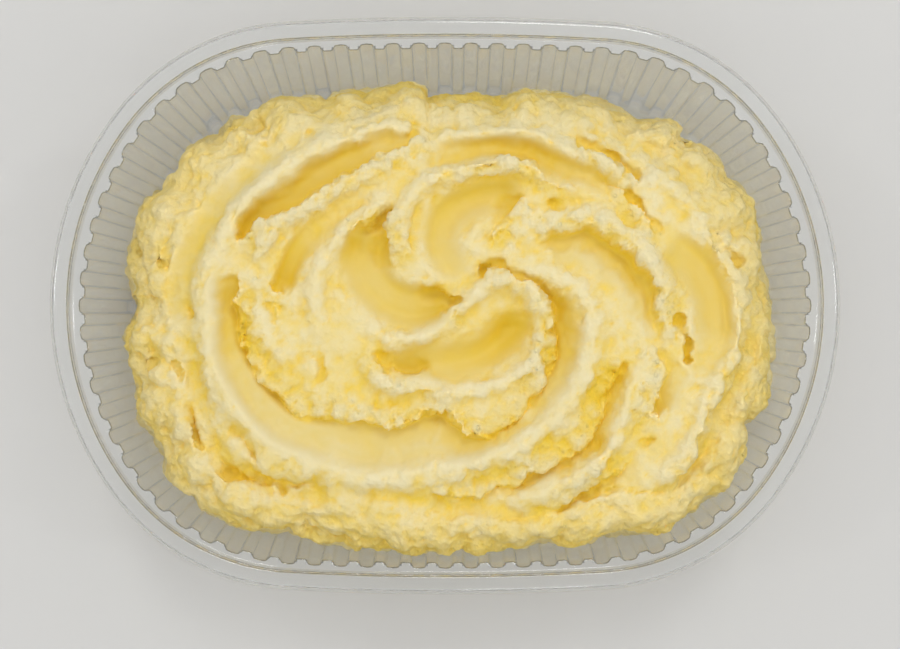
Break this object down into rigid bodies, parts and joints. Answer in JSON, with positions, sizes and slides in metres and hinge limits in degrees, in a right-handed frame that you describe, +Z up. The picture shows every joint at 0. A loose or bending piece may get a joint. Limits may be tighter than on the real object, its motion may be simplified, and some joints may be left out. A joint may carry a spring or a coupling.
{
  "type": "mashed potato side",
  "caption": "Heap of mashed potato swirled with a spoon, in an open oval tub of clear plastic with ribbed sides and a flat rim.",
  "frame": {"origin": "on the surface that the tub stands on, under the middle of its rim", "axes": "+X along the tub's length, +Y across it towards the side where the mash lies lowest, +Z up out of the tub"},
  "size_m": [0.18, 0.1316, 0.0474],
  "materials": {
    "clear_plastic": "clear, glossy thermoformed sheet",
    "mashed_potato": "moist, soft sheen in the spoon's troughs, crumbly on the crests"
  },
  "bodies": {
    "root": {"tub": "clear_plastic", "mash": "mashed_potato"}
  },
  "joints": []
}
